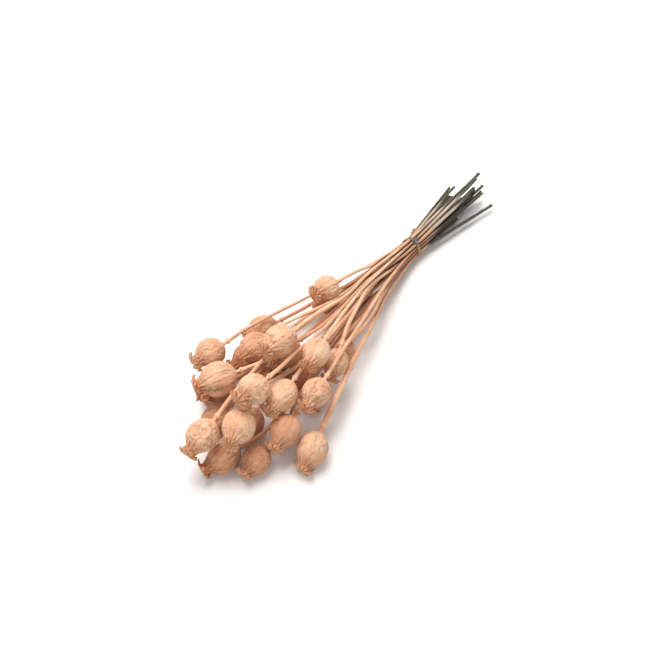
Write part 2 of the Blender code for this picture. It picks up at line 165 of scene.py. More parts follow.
class Surface:
    # Corners, faces with their UV ways and per-corner marks, gathered before the mesh is made
    def __init__(self, usualMarks):
        self.points, self.faces, self.count = [], [], 0
        self.usualMarks = usualMarks
        self.marks = {name: [] for name in usualMarks}

    def addPoints(self, points, **marks):
        # A mark that isn't given takes its usual value
        first = self.count
        for name, usual in self.usualMarks.items():
            values = np.broadcast_to(marks.get(name, usual), points.shape[:-1])
            self.marks[name].append(values.ravel())
        points = points.reshape(-1, 3)
        self.points.append(points)
        self.count += len(points)
        return first

    def addFaces(self, corners, ways):
        # Rows of corner numbers, with a UV pair for each corner
        self.faces.append((corners.reshape(-1, corners.shape[-1]), ways.reshape(-1, 2)))

    def ringQuads(self, first, rings, columns, along, closed=False):
        # Quads between neighbouring rings; u goes round from 0 to 1, v is the distance along
        ring = np.arange(rings if closed else rings - 1)[:, None]
        column = np.arange(columns)[None]
        low = first + ring * columns
        high = first + (ring + 1) % rings * columns
        after = (column + 1) % columns
        self.addFaces(np.stack([low + column, low + after, high + after, high + column], -1),
                      self.ways([column, column + 1, column + 1, column], columns,
                                [along[ring], along[ring], along[ring + 1], along[ring + 1]]))

    def ways(self, across, columns, along):
        # UV pairs: u = column / columns, v = distance along in metres
        pairs = [np.broadcast_arrays(a / columns, b) for a, b in zip(across, along)]
        return np.stack([np.stack(pair, -1) for pair in pairs], -2)

    def fan(self, pole, first, columns, along, toPole):
        # Triangles between a ring and its pole, before the ring or after it
        column = np.arange(columns)
        after = (column + 1) % columns
        centre = np.full(columns, pole)
        order = [first + column, first + after, centre] if toPole else \
                [first + after, first + column, centre]
        across = [column, column + 1] if toPole else [column + 1, column]
        self.addFaces(np.stack(order, -1), self.ways(across + [column + 0.5], columns, along))

    def stitch(self, coarse, few, fine, many, along):
        # Triangles from a ring of few corners to a ring of many, which is an even multiple
        share = many // few
        column = np.arange(many)
        near = (column + share // 2) // share
        top, topAfter = fine + column, fine + (column + 1) % many
        self.addFaces(np.stack([coarse + near % few, topAfter, top], -1),
                      self.ways([near * share, column + 1, column], many,
                                [along[0], along[1], along[1]]))
        column = np.arange(few)
        middle = fine + column * share + share // 2
        self.addFaces(np.stack([coarse + column, coarse + (column + 1) % few, middle], -1),
                      self.ways([column, column + 1, column + 0.5], few,
                                [along[0], along[0], along[1]]))

    def tube(self, line, across, width, thickness, columns, closed=False, **marks):
        # Flat tube: line + width * cos(t) * across + thickness * sin(t) * over, and over is the
        # way along the line x across. An open tube is drawn to a point at both ends.
        over = np.cross(wayAlong(line, closed), across)
        t = np.arange(columns) * fullTurn / columns
        width, thickness = np.broadcast_to(width, len(line)), np.broadcast_to(thickness, len(line))
        points = line[:, None] + (width[:, None] * np.cos(t))[..., None] * across[:, None] \
            + (thickness[:, None] * np.sin(t))[..., None] * over[:, None]
        walked = walkedAlong(np.vstack([line, line[:1]]))
        first = self.addPoints(points, **marks)
        self.ringQuads(first, len(line), columns, walked, closed)
        if not closed:
            ends = self.addPoints(line[[0, -1]])
            last = first + (len(line) - 1) * columns
            self.fan(ends, first, columns, [0, 0, 0], toPole=False)
            self.fan(ends + 1, last, columns, [walked[-2]] * 3, toPole=True)

    def piece(self, name, material):
        # The arrays as one mesh, on an object at the origin
        mesh = bpy.data.meshes.new(name)
        corners = np.concatenate([f.ravel() for f, _ in self.faces]).astype(np.int32)
        sizes = np.concatenate([np.full(len(f), f.shape[1]) for f, _ in self.faces])
        starts = np.concatenate([[0], np.cumsum(sizes)[:-1]]).astype(np.int32)
        points = np.concatenate(self.points).astype(np.float32)
        mesh.vertices.add(len(points))
        mesh.vertices.foreach_set("co", points.ravel())
        mesh.loops.add(len(corners))
        mesh.loops.foreach_set("vertex_index", corners)
        mesh.polygons.add(len(sizes))
        mesh.polygons.foreach_set("loop_start", starts)
        mesh.update(calc_edges=True)
        pairs = np.concatenate([ways for _, ways in self.faces]).astype(np.float32)
        mesh.uv_layers.new(name="surfaceWays").data.foreach_set("uv", pairs.ravel())
        for mark, values in self.marks.items():
            attribute = mesh.attributes.new(mark, "FLOAT", "POINT")
            attribute.data.foreach_set("value", np.concatenate(values).astype(np.float32))
        mesh.shade_smooth()
        if mesh.validate(verbose=False):
            print("mesh mended:", name)
        mesh.materials.append(material)
        return addObject(name, mesh)


# What the CAD solids say about each poppy

cadShape = {
    "stemSides": 6,  # corners in one ring of a CAD stem
    "stationStep": 26 * mm,  # distance in x between the rings of a CAD stem
    "knobRings": 4,  # rings between the first station and the capsule
    "ringFromBase": 6.5 * mm,  # middle of the swollen ring, from the capsule's base
    "neckHeight": 2.12,  # crown's neck above the base, in half lengths
    "domeRise": 0.28,  # crown's middle above that neck, in radii
    "widestRing": 1.0164,  # widest corner of the capsule, in radii
    "tipReach": 1.10,  # ray tips, in crown radii
    "rayCounts": range(8, 17),
    "stepSlack": 0.1 * mm,
    "capsuleShare": 0.75,  # of the head's height; the crown is above it
    "crownFrom": 0.01,  # over the crown's neck, in radii
}


def readPoppy(node):
    # Stem: rings of six corners from the cut end, one station step apart. Head: the axis runs from
    # the ring corners' middles, and the capsule's and crown's widths are distances from that axis.
    s = cadShape
    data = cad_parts[node].data
    flat = np.empty(len(data.vertices) * 3, np.float32)
    data.vertices.foreach_get("co", flat)
    corners = np.unique(np.round(flat.reshape(-1, 3).astype(float), 7), axis=0)
    corners = corners[np.argsort(-corners[:, 0])]
    sides = s["stemSides"]
    whole = len(corners) // sides
    rings = corners[:whole * sides].reshape(whole, sides, 3)
    middles = rings.mean(1)
    radii = np.linalg.norm(rings - middles[:, None], axis=2).mean(1)
    gaps = middles[1:-1, 0] - middles[2:, 0]
    last = 1 + int(np.argmax(abs(gaps - s["stationStep"]) > s["stepSlack"]))
    rest = corners[(last + 1) * sides:]
    aim = unit(middles[last] - rest.mean(0))
    rest = rest[np.argsort(-(rest @ aim))]
    knob = rest[:s["knobRings"] * sides].reshape(-1, sides, 3).mean(1)
    facing = unit(knob[-1] - middles[last])
    base = (knob[1] + knob[2]) / 2 + facing * s["ringFromBase"]
    head = rest[s["knobRings"] * sides:] - base
    height = head @ facing
    side = unit(np.cross([0.0, 0.0, 1.0], facing))
    up = np.cross(facing, side)
    across, over = head @ side, head @ up
    outward = np.hypot(across, over)
    onCapsule = height < s["capsuleShare"] * height.max()
    radius = outward[onCapsule].max() / s["widestRing"]
    halfLength = (height.max() - s["domeRise"] * radius) / s["neckHeight"]
    neck = s["neckHeight"] * halfLength
    onCrown = height > neck + s["crownFrom"] * radius
    crown = outward[onCrown].max() / s["tipReach"]
    tips = onCrown & (outward > crown)
    angles = np.arctan2(over[tips], across[tips])
    sums = {n: np.exp(1j * n * angles).mean() for n in s["rayCounts"]}
    rays = max(sums, key=lambda n: abs(sums[n]))
    spin = np.angle(sums[rays]) / rays
    return {
        "stem": np.column_stack([middles, radii])[:last + 1],
        "base": base, "facing": facing, "side": side, "up": up, "radius": radius,
        "halfLength": halfLength, "neck": neck, "crown": crown, "rays": rays, "spin": spin,
    }


def stemAt(poppy, x):
    # The stem's y, z and radius at x, straight between the CAD rings
    rings = poppy["stem"][np.argsort(poppy["stem"][:, 0])].T
    return np.stack([np.interp(x, rings[0], column) for column in rings[1:]], -1)


# Poppy: swollen ring, neck, capsule and crown

headShape = {
    # Rows: stem and swollen ring, capsule, then the crown's underside and its top
    "columns": 160, "kneeRows": 18, "bodyRows": 46, "underRows": 7, "topRows": 21,
    # Profile from low to high: heights over the capsule's base, and radii
    "stemRings": [(-10.6, 1.0), (-9.4, 1.03), (-8.4, 1.10)],  # in mm and stem radii
    "kneeRings": [(-7.7, 2.95), (-7.0, 3.32), (-6.2, 3.40), (-5.5, 3.16), (-4.9, 2.45),
                  (-4.1, 2.02), (-2.6, 1.90), (-1.2, 2.00), (-0.35, 2.45)],  # in mm
    "capsuleFoot": (0.02, 0.20),  # in half lengths and radii
    "ellipse": (12, 116),  # in degrees from its foot
    "shoulder": [(1.58, 0.80), (1.71, 0.675), (1.83, 0.545), (1.94, 0.455), (2.04, 0.405)],
    # Crown, in capsule radii where nothing else is said
    "crownNeck": 0.40,
    "leastRim": 1.04,  # in neck radii
    "underside": [(0.0, 0.0), (0.05, 0.1), (0.09, 0.5), (0.10, 1.0)],  # rise, share of the way out
    "rimRise": 0.165, "domeRise": 0.25, "tipDroop": 0.085,
    "tipReach": 1.12, "notchReach": 0.91, "raysFrom": (0.10, 0.34),  # in crown radii
    # Plain and jagged crowns
    "lobePower": (4.2, 2.0), "reachSpread": (0.03, 0.13), "droopSpread": (0.35, 1.25),
    "edgeHeight": 0.62 * mm, "edgeAt": 0.14, "edgeWidth": 0.10,  # each ray's two raised edges
    "gapDepth": 0.65 * mm, "gapFrom": (0.31, 0.49),  # between two rays
    "furrowDepth": 0.35 * mm, "furrowWidth": 0.08,  # along the middle of a ray
    "middleDip": 0.7 * mm, "middleSize": 0.14,
    "crinkleHeight": 1.1 * mm, "crinkleSize": 2.6 * mm, "crinkleFrom": (0.3, 0.9),
    # Knobs of the swollen ring
    "knobAt": -6.4 * mm, "knobLength": 1.1 * mm, "knobHeight": 0.5 * mm,
    # Relief of the capsule's wall. What starts or ends along it does so in half lengths.
    "reliefFrom": (0.02, 0.20), "reliefTo": (2.02, 2.12),
    "fluteHeight": 0.60 * mm, "flutesFrom": (1.62, 2.04),  # pleats under the crown
    "ribHeight": 0.16 * mm, "ribsFrom": (0.15, 0.6), "ribWander": 0.20, "ribWanderSize": 7 * mm,
    "lumpHeight": 1.1 * mm, "lumpSize": 11 * mm,  # slow dents of the dried wall
    "veinDepth": 0.55 * mm,  # wavy grooves along the capsule, two to a ray
    "veinWander": 0.32, "veinWanderSize": 5 * mm,  # in rays, as ribWander is
    "veinLevels": (0.66, 1.0), "ribLevels": (0.35, 0.95), "stretch": 0.75,
    # Net-like wrinkles, coarse and fine, and the patches where they are strong
    "netHeight": 0.78 * mm, "netSize": 3.2 * mm, "netWarp": 4.5 * mm, "netWidth": 0.15,
    "fineHeight": 0.34 * mm, "fineSize": 2.2 * mm, "fineWarp": 2.5 * mm, "fineWidth": 0.17,
    "warpSize": 6 * mm,
    "patchSize": 9 * mm, "patchLevels": (0.28, 0.62), "patchStrength": (0.35, 1.0),
    "pitDepth": 0.6 * mm, "pitSize": 2.7 * mm, "pitLevels": (0.76, 0.90),
}

# How dark each kind of hollow is made: painted shade in the wrinkles, grooves, pleats, ray furrows
# and under the crown; the joint and knobs are really darker
headShadeAndMarks = {"net": (0.225, 0.75), "fine": 0.3, "vein": 0.7, "ribs": 0.12, "flutes": 0.7,
           "joint": 0.8, "jointAt": -0.2 * mm, "jointLength": 0.5 * mm,
           "knobs": 1.2, "knobsOver": 0.35, "furrow": 0.35, "underCrownShade": 0.40,
           "crownFrom": (1.97, 2.11)}
stainShape = {"side": (-0.52, -0.66, 0.36), "back": 0.2, "from": 0.45, "longer": 0.42,
              "edge": (0.08, 0.30)}

# How a head looks. Tone goes from pale to deeply dyed: partly each head's own dye, partly painted
# shade on heads that lie low or under others. A jagged crown has long, pointed rays.
# Lengthwise is how much its wrinkles run along it, and stout how much its stem thickens towards it.
usualLook = {"ribs": 0.9, "net": 1.0, "lengthwise": 0.3, "specks": 0.2, "pits": 0.0, "stain": 0.0,
             "jagged": 0.25, "tone": 0.15, "flare": 1.0, "stout": 0.0}
headLooks = {
    1: {"ribs": 1.9, "lengthwise": 0.6, "net": 0.8, "flare": 0.5},
    2: {"tone": 0.8}, 3: {"tone": 0.35},
    4: {"ribs": 1.3, "lengthwise": 0.4, "jagged": 0.45, "tone": 0.2},
    5: {"ribs": 1.9, "lengthwise": 0.9, "net": 0.7, "stain": 1.0, "jagged": 0.7, "tone": 0.1},
    6: {"ribs": 1.2, "lengthwise": 0.5, "jagged": 1.0, "tone": 0.75},
    7: {"ribs": 0.5, "net": 0.8, "specks": 0.7, "pits": 1.0, "flare": 0.4, "tone": 0.1},
    8: {"ribs": 1.3, "lengthwise": 0.5, "tone": 0.6}, 9: {"tone": 0.9, "lengthwise": 0.6},
    10: {"ribs": 0.6, "specks": 0.7, "pits": 0.5, "tone": 0.35},
    11: {"net": 0.7, "flare": 0.9, "tone": 0.0}, 12: {"net": 1.2, "flare": 1.3},
    13: {"net": 1.3, "specks": 0.4, "tone": 0.05}, 14: {"net": 0.9, "flare": 0.7, "tone": 0.0},
    15: {"net": 1.2, "specks": 0.4, "stain": 0.3},
    17: {"ribs": 0.5, "net": 0.7, "specks": 1.0, "flare": 0.3, "tone": 0.05},
    18: {"ribs": 0.8, "net": 1.4, "jagged": 0.5, "tone": 0.05, "flare": 1.3},
    19: {"tone": 0.55, "jagged": 0.7},
    20: {"ribs": 1.4, "lengthwise": 0.7, "jagged": 0.9, "tone": 0.45},
    21: {"tone": 0.6}, 22: {"ribs": 1.2, "lengthwise": 0.5, "net": 0.6, "tone": 0.9, "jagged": 0.6},
    23: {"tone": 0.55, "net": 0.9, "flare": 1.2, "specks": 0.8},
    24: {"net": 0.9, "jagged": 0.9, "flare": 1.5, "tone": 0.05, "ribs": 0.7, "stout": 0.32},
    25: {"tone": 0.7}, 26: {"tone": 0.5}, 27: {"tone": 0.9},
}


def bodyProfile(poppy):
    # Height over the capsule's base and radius, in two stretches: knee (stem, swollen ring, neck),
    # then an ellipse, h * (1 - cos a) and r * sin a, that narrows through a hollow shoulder.
    r, h, s = poppy["radius"], poppy["halfLength"], headShape
    stem = np.array(s["stemRings"]) * [mm, poppy["stemTop"]]
    foot = np.array([s["capsuleFoot"]]) * [h, r]
    angle = np.radians(np.linspace(*s["ellipse"], 15))
    ellipse = np.stack([h * (1 - np.cos(angle)), r * np.sin(angle)], 1)
    shoulder = np.array(s["shoulder"] + [(cadShape["neckHeight"], s["crownNeck"])]) * [h, r]
    knee = curveThrough(np.vstack([stem, np.array(s["kneeRings"]) * mm, foot]), s["kneeRows"] + 1)
    body = curveThrough(np.vstack([ellipse, shoulder]), s["bodyRows"])
    return np.vstack([knee[:-1], body])


def crownProfile(poppy, reach, droop):
    # Underside from the neck to the rim, the rim's edge, then the top in to the middle.
    # The top is a shallow dome: it falls with the square of the distance from the middle.
    r, s = poppy["radius"], headShape
    neckRadius, neck = s["crownNeck"] * r, poppy["neck"]
    rim = max(reach * poppy["crown"], neckRadius * s["leastRim"])
    rise, wayOut = np.array(s["underside"]).T
    under = np.stack([neck + rise * r, between((neckRadius, rim), wayOut)], 1)
    under[-1, 0] -= droop
    share = np.linspace(1, 0, 9)
    top = neck + between((s["rimRise"], s["domeRise"]), 1 - share**2) * r - droop * share**4
    under = curveThrough(under, s["underRows"] + 1)[1:]
    top = curveThrough(np.stack([top, rim * share], 1), s["topRows"] + 1)[:-1]
    return np.vstack([under, top])


def headSurface(poppy, look, seed, chance):
    # P(u, row) = base + height * facing + radius * (cos u * side + sin u * up). On the crown,
    # height and radius go from the notch profile to the tip profile by the lobe's share at u.
    # The capsule's relief is then added along its own normal.
    s, r, h = headShape, poppy["radius"], poppy["halfLength"]
    facing = poppy["facing"]
    u = np.arange(s["columns"]) * fullTurn / s["columns"]
    phase = (u - poppy["spin"]) * poppy["rays"] / fullTurn
    number = np.floor(phase + 0.5).astype(int) % poppy["rays"]
    offRay = phase - np.floor(phase + 0.5)  # -0.5 to 0.5 across one lobe
    lobe = 1 - abs(2 * offRay) ** between(s["lobePower"], look["jagged"])
    reachOf = chance.normal(1, between(s["reachSpread"], look["jagged"]), poppy["rays"])[number]
    droopOf = chance.normal(1, between(s["droopSpread"], look["jagged"]), poppy["rays"])[number]

    body = bodyProfile(poppy)
    droop = s["tipDroop"] * r * look["flare"]
    notch = crownProfile(poppy, s["notchReach"], 0)
    tip = crownProfile(poppy, s["tipReach"], droop)
    bodyRows = len(body)
    crownHeight, crownRadius = [between((notch[:, [k]], tip[:, [k]]), lobe) for k in (0, 1)]
    out = np.clip(crownRadius / poppy["crown"], 0, 1.3)  # 0 in the middle, about 1 at the rim
    crownRadius *= 1 + (reachOf - 1) * lobe * out**2
    crownHeight -= droop * (droopOf - 1) * lobe * out**4

    # Each ray is a loop with two raised edges, a furrow between them and a deep gap beside it
    onTop = np.zeros((len(notch), 1))
    fromRim = np.linspace(0, 1, len(notch) - s["underRows"])
    onTop[s["underRows"]:, 0] = smoothStep(0, 0.14, fromRim)
    fromMiddle = smoothStep(*s["raysFrom"], out)
    edge = np.exp(-((abs(offRay) - s["edgeAt"]) / s["edgeWidth"]) ** 2) * fromMiddle
    gap = smoothStep(*s["gapFrom"], abs(offRay)) * fromMiddle
    furrow = np.exp(-(offRay / s["furrowWidth"]) ** 2) * fromMiddle
    dip = s["middleDip"] * (1 - smoothStep(0, s["middleSize"], out))
    crownHeight += onTop * (s["edgeHeight"] * edge - s["gapDepth"] * gap
                            - s["furrowDepth"] * furrow - dip)
    height, radius = [np.vstack([np.repeat(body[:, [k]], len(u), 1), crown])
                      for k, crown in enumerate((crownHeight, crownRadius))]

    # Swollen ring: blunt knobs where the petals and stamens were, as five waves round plus two
    onKnob = np.exp(-((height - s["knobAt"]) / s["knobLength"]) ** 2)
    knobs = np.cos(u * 5 + seed) * 0.5 + np.cos(u * 2 + seed * 2) * 0.7
    radius += onKnob * knobs * s["knobHeight"]
    ring = np.cos(u)[:, None] * poppy["side"] + np.sin(u)[:, None] * poppy["up"]
    points = poppy["base"] + height[..., None] * facing + radius[..., None] * ring

    # Relief of the capsule's wall
    level = height / h
    onBody = smoothStep(*s["reliefFrom"], level) * (1 - smoothStep(*s["reliefTo"], level))
    onBody[bodyRows:] = 0
    stretch = 1 - s["stretch"] * look["lengthwise"]
    local = np.stack([radius * np.cos(u), radius * np.sin(u), height * stretch], -1)
    warp = [latticeNoise(local / s["warpSize"] + 9 * k, seed + k) - 0.5 for k in range(3)]
    warp = np.stack(warp, -1)
    lumps = latticeNoise(local / s["lumpSize"], seed + 11) - 0.5
    netCells = latticeNoise((local + warp * s["netWarp"]) / s["netSize"], seed + 12)
    netFine = latticeNoise((local + warp * s["fineWarp"]) / s["fineSize"], seed + 13)
    crease = 1 - smoothStep(0.0, s["netWidth"], abs(netCells - 0.5))
    fineCrease = 1 - smoothStep(0.0, s["fineWidth"], abs(netFine - 0.5))
    patch = smoothStep(*s["patchLevels"], latticeNoise(local / s["patchSize"], seed + 14))
    strength = between(s["patchStrength"], patch)
    pit = smoothStep(*s["pitLevels"], latticeNoise(local / s["pitSize"], seed + 15)) * look["pits"]
    ribWay = latticeNoise(local / s["ribWanderSize"], seed + 16) - 0.5
    rib = np.cos(fullTurn * (offRay + s["ribWander"] * ribWay))
    alongRibs = smoothStep(*s["ribsFrom"], level) * look["ribs"]
    toNeck = smoothStep(*s["flutesFrom"], level)
    veinWay = latticeNoise(local / s["veinWanderSize"], seed + 17) - 0.5
    veinWave = np.cos(2 * fullTurn * (offRay + s["veinWander"] * veinWay))
    vein = smoothStep(*s["veinLevels"], -veinWave)
    vein *= strength * look["lengthwise"]
    relief = (lumps * s["lumpHeight"] - vein * s["veinDepth"]
              - crease * s["netHeight"] * look["net"] * strength
              + (netCells - 0.5) * 0.5 * s["netHeight"] * look["net"]
              - fineCrease * s["fineHeight"] * look["net"] - pit * s["pitDepth"]
              + rib * (s["ribHeight"] * alongRibs + s["fluteHeight"] * toNeck))
    slopeHeight, slopeRadius = np.gradient(height, axis=0), np.gradient(radius, axis=0)
    length = np.maximum(np.hypot(slopeHeight, slopeRadius), 1e-9)
    relief *= onBody / length
    points += ring * (slopeHeight * relief)[..., None]
    points -= facing * (slopeRadius * relief)[..., None]

    # Crinkled crown, so that no two rays match
    crinkle = latticeNoise(points[bodyRows:] / s["crinkleSize"], seed + 21) - 0.5
    crinkle *= smoothStep(*s["crinkleFrom"], out) * s["crinkleHeight"]
    points[bodyRows:] += facing * crinkle[..., None]

    # Dark marks: painted shade in the wrinkles, grooves, pleats, pits, the gaps of the crown and
    # under it, and the real dark joint under the capsule and its knobs
    d = headShadeAndMarks
    crownShare = smoothStep(*d["crownFrom"], level)
    crownShare[bodyRows:] = 1
    ribLine = smoothStep(*s["ribLevels"], -rib) * (d["ribs"] * alongRibs + d["flutes"] * toNeck)
    wrinkles = crease * between(d["net"], patch) + d["fine"] * fineCrease
    dark = (wrinkles * look["net"] + d["vein"] * vein + ribLine + pit) * onBody
    dark += np.exp(-((height - d["jointAt"]) / d["jointLength"]) ** 2) * d["joint"]
    dark += onKnob * np.clip(knobs - d["knobsOver"], 0, 1) * d["knobs"]
    dark[bodyRows:] = onTop * (gap + d["furrow"] * furrow) + (1 - onTop) * d["underCrownShade"]
    # Painted highlight on the raised edges of the crown's rays
    ridgeHighlight = np.zeros_like(height)
    ridgeHighlight[bodyRows:] = onTop * edge

    # One long stain down the side that faces the stain's way
    away = points - (poppy["base"] + facing * h)
    side = unit(np.array(stainShape["side"]) - facing * stainShape["back"])
    beside = away @ np.cross(facing, side) / r
    along = ((away @ facing) / r - stainShape["from"]) * stainShape["longer"]
    stain = 1 - smoothStep(*stainShape["edge"], np.hypot(beside, along))
    stain = stain * (away @ side > 0) * look["stain"]
    return points, {"crease": np.clip(dark, 0, 1), "crownShare": crownShare, "ridgeHighlight": ridgeHighlight,
                    "capShare": onBody, "stain": stain}


# Poppy: stem

stemShape = {
    "columns": 16,
    "ringSpacing": 2.7 * mm,
    "tension": 0.42,  # of the curve through the CAD rings
    "roundness": 0.985,  # round stem against the six-sided CAD stem
    "stoutFrom": (0.10, -0.10),  # x where a stout stem starts to thicken, and where it ends
    "furrows": 5, "furrowDepth": 0.045, "furrowSway": 6, "swayRate": 9,
    "lumpiness": 0.16, "lumpSize": 11 * mm,
    "lumpierFoot": 2.4, "foot": (0.02, 0.085),  # how much lumpier near the cut end
    "leafScars": 4, "scarHeight": 0.28, "scarLength": 1.9 * mm,
    "scarsFrom": 0.05, "scarSpacing": 0.22, "scarRoom": 0.20,  # in stem lengths
    "plainTop": 8 * mm,
    "topGap": 1.3 * mm,  # from the last stem ring to the head's first row
    "slant": 0.8,  # how far a cut end leans, in stem radii, as is ragged
    "ragged": 0.9, "raggedTeeth": 1.6,
    "slantLength": 6 * mm,
    "hollowDepth": 2.4 * mm,
    "rimInset": 0.8 * mm,
    # Cut end from the hollow outwards: radius, depth in hollow depths and in mm, cut share, crease
    "cutRows": [(0.30, 1, 0, 1, 1), (0.48, 0.7, 0, 1, 0.9), (0.60, 0, 0.1, 1, 0.2),
                (0.90, 0, 0, 0.8, 0), (0.99, 0, 0.25, 0.2, 0)],
}

# The dye stops near the tie: the stems turn pale, then grey-green towards the cut ends.
# Stems low in the bunch are dark from nearer the tie.
dyeShape = {"paleFrom": (0.120, 0.158), "paleLength": (0.020, 0.045),
            "darkFrom": (0.138, 0.170), "darkLength": (0.010, 0.030),
            "highLater": 0.044, "laterSpread": (0.2, 1.6),
            "lowStem": 14 * mm, "highStem": 40 * mm, "heightAt": 0.2,
            # Painted shade low in the bunch: tone added near the floor, fading out by the given
            # height
            "lowShade": 0.55, "lowShadeUpTo": 48 * mm, "stemTone": (0.0, 0.55), "headTone": 0.8,
            # Reach of the painted shade where stems lie close
            "creviceReach": 1.6 * mm}

# Broken side shoots: where along the bunch, which way out, length, radius and how they curl
sideShoots = [
    {"at": 0.152, "out": (0.86, 0.50), "length": 8.0 * mm, "radius": 1.9 * mm, "curl": 1.9},
    {"at": 0.143, "out": (-0.97, 0.22), "length": 7.5 * mm, "radius": 1.3 * mm, "curl": -0.4},
    {"at": 0.010, "out": (-0.98, 0.10), "length": 3.4 * mm, "radius": 0.8 * mm, "curl": 0.3},
]
# The same for all: lean along the bunch, then values at the foot and at the tip
shootShape = {"lean": 0.55, "taper": (1.15, 0.55), "dark": (0.25, 0.75), "crease": (0.3, 1.0)}


def stemSurface(poppy, seed, chance):
    # Rings round a smooth curve through the CAD rings' middles, from the cut end to the head.
    # Ring point = middle + radius * (1 + furrows + scars) * (cos u * side + sin u * up).
    s = stemShape
    topStart = poppy["base"] + poppy["facing"] * (headShape["stemRings"][0][0] * mm - s["topGap"])
    line = np.vstack([poppy["stem"], [*topStart, poppy["stemTop"] / s["roundness"]]])
    line = curveThrough(line, spacing=s["ringSpacing"], tension=s["tension"])
    middles, radii = line[:, :3], line[:, 3] * s["roundness"]
    way = wayAlong(middles)
    way[-1] = poppy["facing"]
    side = unit(poppy["side"] - (way @ poppy["side"])[:, None] * way)
    up = np.cross(way, side)
    u = np.arange(s["columns"]) * fullTurn / s["columns"]
    walked = walkedAlong(middles)
    down = walked[:, None]
    swell = s["furrowDepth"] * np.cos(s["furrows"] * u
                                      + s["furrowSway"] * np.sin(down * s["swayRate"] + seed))
    lumpy = s["lumpiness"] * (1 + s["lumpierFoot"] * (1 - smoothStep(*s["foot"], down)))
    spots = np.stack(np.broadcast_arrays(down / s["lumpSize"], np.cos(u), np.sin(u)), -1)
    swell = swell + lumpy * (latticeNoise(spots, seed) - 0.5)
    scars = np.zeros_like(swell)
    for scar in range(s["leafScars"]):
        start = s["scarsFrom"] + s["scarSpacing"] * scar
        at = walked[-1] * chance.uniform(start, start + s["scarRoom"])
        turned = chance.uniform(0, fullTurn)
        onSide = np.clip(np.cos(u - turned), 0, 1) ** 1.5
        along = np.exp(-((down - at) / s["scarLength"]) ** 2)
        scars += chance.uniform(0.5, 1.3) * onSide * along
    swell += scars * s["scarHeight"]
    swell *= smoothStep(0, s["plainTop"], walked[-1] - down)
    ring = np.cos(u)[:, None] * side[:, None] + np.sin(u)[:, None] * up[:, None]
    points = middles[:, None] + ring * (radii[:, None] * (1 + swell))[..., None]

    # Cut end: from the bottom of the hollow out over the rim
    rim = radii[0]
    lean, turned = s["slant"] * chance.uniform(0.1, 1), chance.uniform(0, fullTurn)
    depth = s["hollowDepth"] * chance.uniform(0.3, 1)
    share, deep, extra = np.array(s["cutRows"])[:, :3].T[..., None]
    teeth = np.stack([np.cos(u), np.sin(u), 0 * u], -1) * s["raggedTeeth"]
    shift = np.cos(u - turned) * lean + (latticeNoise(teeth, seed + 5) - 0.5) * s["ragged"]
    shift = shift * rim
    inward = deep * depth + extra * mm + share * shift
    cap = middles[0] + ring[0] * (share * rim)[..., None] + way[0] * inward[..., None]
    points += way[0] * (np.clip(1 - down / s["slantLength"], 0, 1) * shift)[..., None]
    points[0] += way[0] * s["rimInset"]
    pole = middles[0] + way[0] * depth
    return points, cap, pole, walked, np.clip(scars, 0, 1)


def dyeMarks(poppy, chance):
    # Pale share and dark share at each x: both rise from 0 to 1 over their own lengths
    d = dyeShape
    lift = smoothStep(d["lowStem"], d["highStem"], stemAt(poppy, d["heightAt"])[1])
    paleFrom = chance.uniform(*d["paleFrom"])
    paleTo = paleFrom + chance.uniform(*d["paleLength"])
    darkFrom = chance.uniform(*d["darkFrom"])
    darkFrom += d["highLater"] * lift * chance.uniform(*d["laterSpread"])
    darkTo = darkFrom + chance.uniform(*d["darkLength"])
    return lambda x: {"pale": smoothStep(paleFrom, paleTo, x),
                      "dark": smoothStep(darkFrom, darkTo, x)}


def toneWithLowShade(tone, points):
    # Painted shade on what lies low: the tone rises towards the floor surface
    return tone + dyeShape["lowShade"] * (1 - smoothStep(0, dyeShape["lowShadeUpTo"], points[..., 2]))


def shadeBesideStems(points, others):
    # Painted shade where stems lie close: the sum over the other stems of exp(-gap / reach), at
    # most 1
    total = np.zeros(points.shape[:-1])
    x = points[..., 0]
    for other in others:
        near = stemAt(other, x)
        gap = np.linalg.norm(near[..., :2] - points[..., 1:], axis=-1) - near[..., 2]
        along = other["stem"][:, 0]
        beside = (x > along.min()) & (x < along.max())
        total += np.exp(-np.maximum(gap, 0) / dyeShape["creviceReach"]) * beside
    return np.minimum(total, 1)


skinMarks = ("crease", "crownShare", "ridgeHighlight", "capShare", "stain", "cutShare",
             "pale", "dark", "crevice", "specks", "tone")
seeds = {"first": 500, "noiseStep": 40}


